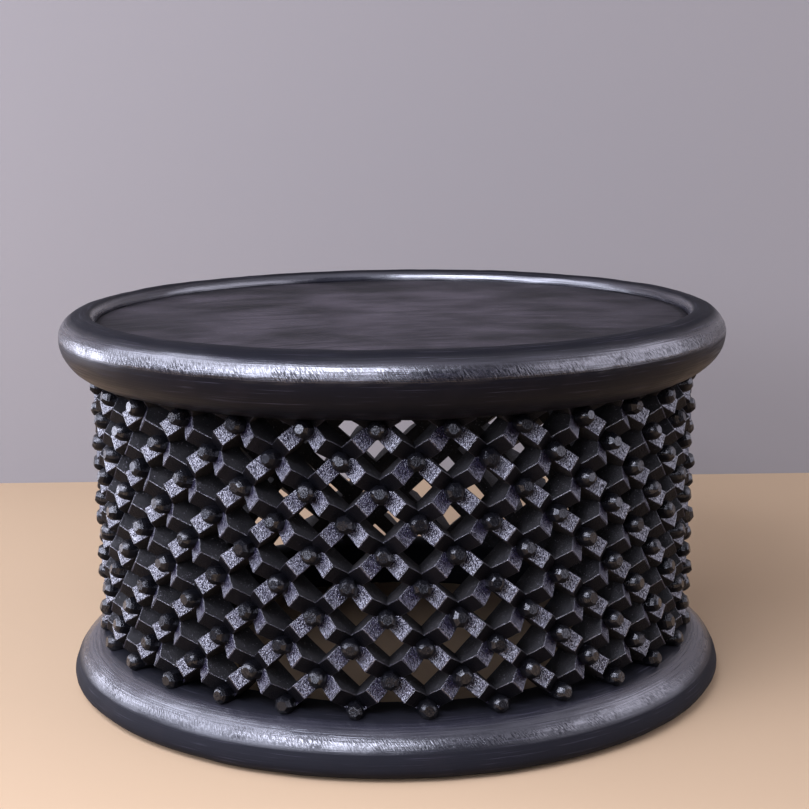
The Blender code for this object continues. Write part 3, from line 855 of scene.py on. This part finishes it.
    # bend: x becomes the way round, y the depth behind the crests
    place = addNode(tree, "ShaderNodeSeparateXYZ", [addNode(tree, "GeometryNodeInputPosition")])
    risen = addNode(tree, "ShaderNodeMath", [place.outputs[2], given["First Row"]], operation="SUBTRACT")
    rowsUp = addNode(tree, "ShaderNodeMath", [risen, given["Row Step"]], operation="DIVIDE")
    leant = addNode(tree, "ShaderNodeMath", [rowsUp, given["Row Lean"], place.outputs[0]],
                    operation="MULTIPLY_ADD")
    wayRound = addNode(tree, "ShaderNodeMath", [leant, given["Crest Radius"]], operation="DIVIDE")
    share = addNode(tree, "ShaderNodeMath", [given["Post"], given["Posts"]], operation="DIVIDE")
    turned = addNode(tree, "ShaderNodeMath", [share, 2 * pi, given["Front Turn"]], operation="MULTIPLY_ADD")
    angle = addNode(tree, "ShaderNodeMath", [wayRound, turned], operation="ADD")
    inward = addNode(tree, "ShaderNodeMath", [place.outputs[1], given["Crest Radius"]], operation="SUBTRACT")
    ahead = addNode(tree, "ShaderNodeCombineXYZ", [0, inward, place.outputs[2]])
    bent = addNode(tree, "ShaderNodeVectorRotate", {"Vector": ahead, "Angle": angle}, rotation_type="Z_AXIS")
    curved = addNode(tree, "GeometryNodeSetPosition", {"Geometry": welded, "Position": bent})

    # the same unevenness on both sides of a seam, because it only depends on the place
    moves = []
    for scale, amount in ((wall["unevenScale"], "Uneven"), (wall["rippleScale"], "Ripple")):
        cloud = addNode(tree, "ShaderNodeTexNoise", {"Scale": scale, "Detail": 1, "Roughness": 0.5})
        centred = addNode(tree, "ShaderNodeVectorMath", [cloud.outputs["Color"], (0.5, 0.5, 0.5)],
                          operation="SUBTRACT")
        moves.append(addNode(tree, "ShaderNodeVectorMath", {"Vector": centred, "Scale": given[amount]},
                             operation="SCALE"))
    uneven = addNode(tree, "ShaderNodeVectorMath", moves, operation="ADD")
    carved = addNode(tree, "GeometryNodeSetPosition", {"Geometry": curved, "Offset": uneven})
    wooden = addNode(tree, "GeometryNodeSetMaterial", {"Geometry": carved, "Material": given["Wall Wood"]})
    knobFlag = addNode(tree, "GeometryNodeInputNamedAttribute", {"Name": "knob"}, data_type="FLOAT")
    onKnob = addNode(tree, "ShaderNodeMath", [knobFlag, 0.5], operation="GREATER_THAN")
    finished = addNode(tree, "GeometryNodeSetMaterial", {"Geometry": wooden, "Selection": onKnob,
                                                         "Material": given["Knob Wood"]})
    addNode(tree, "NodeGroupOutput", [finished])
    return tree, ids


def makePosts():
    tree, ids = postTree()
    values = {"Crossings": patterns, "Knobs": studs, "Posts": wall["posts"], "Rows": wall["rows"],
              "Half Pitch": wall["halfPitch"], "First Row": wall["firstRowZ"], "Row Step": wall["rowStep"],
              "Row Lean": wall["rowLean"], "Crest Radius": drum["crestRadius"],
              "Front Turn": wall["frontTurn"], "Uneven": wall["uneven"], "Ripple": wall["ripple"],
              "Seed": wall["seed"], "Wall Wood": wallWood, "Knob Wood": knobWood}
    for post in range(wall["posts"]):
        carrier = newPiece("post carrier", bpy.data.meshes.new("post carrier"))
        modifier = carrier.modifiers.new("carved post", "NODES")
        modifier.node_group = tree
        for name, value in values.items():
            modifier[ids[name]] = value
        modifier[ids["Post"]] = post
        evaluated = carrier.evaluated_get(bpy.context.evaluated_depsgraph_get())
        mesh = bpy.data.meshes.new_from_object(evaluated, preserve_all_data_layers=True,
                                               depsgraph=bpy.context.evaluated_depsgraph_get())
        bpy.data.objects.remove(carrier)
        piece = newPiece(f"carvedPost{post + 1:02d}", mesh)
        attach(piece, "root")
        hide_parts(f"lattice_post_{post + 1:02d}")


makePosts()
print("wall made of", wall["posts"], "posts")


# Floor, backdrop, light and camera

room = {
    "floor": "#af9678",
    "floorRough": 0.7,
    "floorGloss": 0.2,
    "wall": "#868280",
    "wallRough": 0.9,
    "wallGloss": 0.1,
    "wallY": 0.965,  # how far behind the middle of the stool the backdrop stands
    "halfWide": 5.0,
    "wallHigh": 2.6,
    "world": 0.02,
    # each lamp: place, the point it faces, width and height, watts and colour
    "lamps": {
        "long window": ((-2.90, -2.60, 2.05), (0, -2.60, 0.35), (9.0, 1.60), 262, "#e6e9ff"),
        "low window": ((-2.80, -1.85, 1.50), (0, -0.36, 0.25), (2.20, 0.75), 52, "#e2e6ff"),
        "skylight": ((-1.35, -1.20, 2.00), (0, -1.00, 0.20), (3.20, 0.40), 20, "#e6e9ff"),
        "door": ((-1.85, 0.58, 0.42), (-0.3, -0.1, 0.25), (0.90, 0.70), 18, "#e6e9ff"),
        "front window": ((-0.95, -3.30, 1.10), (0, -0.40, 0.40), (2.00, 0.70), 26, "#e6e9ff"),
        "high window": ((-0.70, -1.50, 1.84), (0, -0.38, 0.05), (1.50, 0.80), 64, "#e6e9ff"),
        "right window": ((2.30, -0.50, 1.10), (0, -0.20, 0.30), (3.0, 1.9), 48, "#eceaff"),
        "ceiling": ((1.5, -0.6, 2.8), (1.1, -0.6, 0), (3.6, 4.4), 26, "#f2f0ff"),
    },
}

# the lens and the sensor are in millimetres, down is in degrees, yaw and roll in radians
camera = {"place": (0, -1.996, 0.7071), "lens": 73.43, "sensor": 36, "down": 10.88, "yaw": -0.0069,
          "roll": -0.0112}


def paintOn(mesh, part, name):
    paint, tree, shader = newMaterial(name)
    shader.inputs["Base Color"].default_value = linear(room[part])
    shader.inputs["Roughness"].default_value = room[part + "Rough"]
    shader.inputs["Specular IOR Level"].default_value = room[part + "Gloss"]
    mesh.materials.append(paint)
    return tree, shader


def makeRoom():
    wide, back, high = room["halfWide"], room["wallY"], room["wallHigh"]
    floorMesh = bpy.data.meshes.new("floor")
    floorMesh.from_pydata([(-wide, -wide, 0), (wide, -wide, 0), (wide, wide, 0), (-wide, wide, 0)], [],
                          [(0, 1, 2, 3)])
    wallMesh = bpy.data.meshes.new("backdrop")
    wallMesh.from_pydata([(-wide, back, 0), (wide, back, 0), (wide, back, high), (-wide, back, high)], [],
                         [(0, 1, 2, 3)])
    paintOn(floorMesh, "floor", "pale smooth floor")
    tree, shader = paintOn(wallMesh, "wall", "plain plaster backdrop")
    # the backdrop is clear from behind, so that the stool's back can be seen
    behind = addNode(tree, "ShaderNodeNewGeometry").outputs["Backfacing"]
    clear = addNode(tree, "ShaderNodeBsdfTransparent")
    either = addNode(tree, "ShaderNodeMixShader", [behind, shader.outputs[0], clear])
    tree.links.new(either.outputs[0], tree.nodes["Material Output"].inputs[0])
    newPiece("floor", floorMesh)
    newPiece("backdrop", wallMesh)


def makeLamps():
    for name, (place, aim, size, power, colour) in room["lamps"].items():
        data = bpy.data.lights.new(name, "AREA")
        data.shape = "RECTANGLE"
        data.size, data.size_y = size
        data.energy = power
        data.color = linear(colour)[:3]
        lamp = bpy.data.objects.new(name, data)
        lamp.location = place
        lamp.visible_camera = False  # the windows light the stool, and aren't seen themselves
        lamp.rotation_mode = "QUATERNION"
        lamp.rotation_quaternion = (Vector(place) - Vector(aim)).to_track_quat("Z", "Y")
        bpy.context.scene.collection.objects.link(lamp)


def makeCamera():
    data = bpy.data.cameras.new("camera")
    data.lens = camera["lens"]
    data.sensor_width = camera["sensor"]
    view = bpy.data.objects.new("camera", data)
    view.matrix_world = (Matrix.Translation(camera["place"]) @ Matrix.Rotation(camera["yaw"], 4, "Z")
                         @ Matrix.Rotation(radians(90 - camera["down"]), 4, "X")
                         @ Matrix.Rotation(camera["roll"], 4, "Z"))
    bpy.context.scene.collection.objects.link(view)
    bpy.context.scene.camera = view


makeRoom()
makeLamps()
makeCamera()
world = bpy.data.worlds.new("dim room")
world.use_nodes = True
dim = room["world"]
world.node_tree.nodes["Background"].inputs[0].default_value = (dim, dim, dim, 1)
bpy.context.scene.world = world
bpy.context.scene.view_settings.view_transform = "Standard"
print("room, lights and camera made")
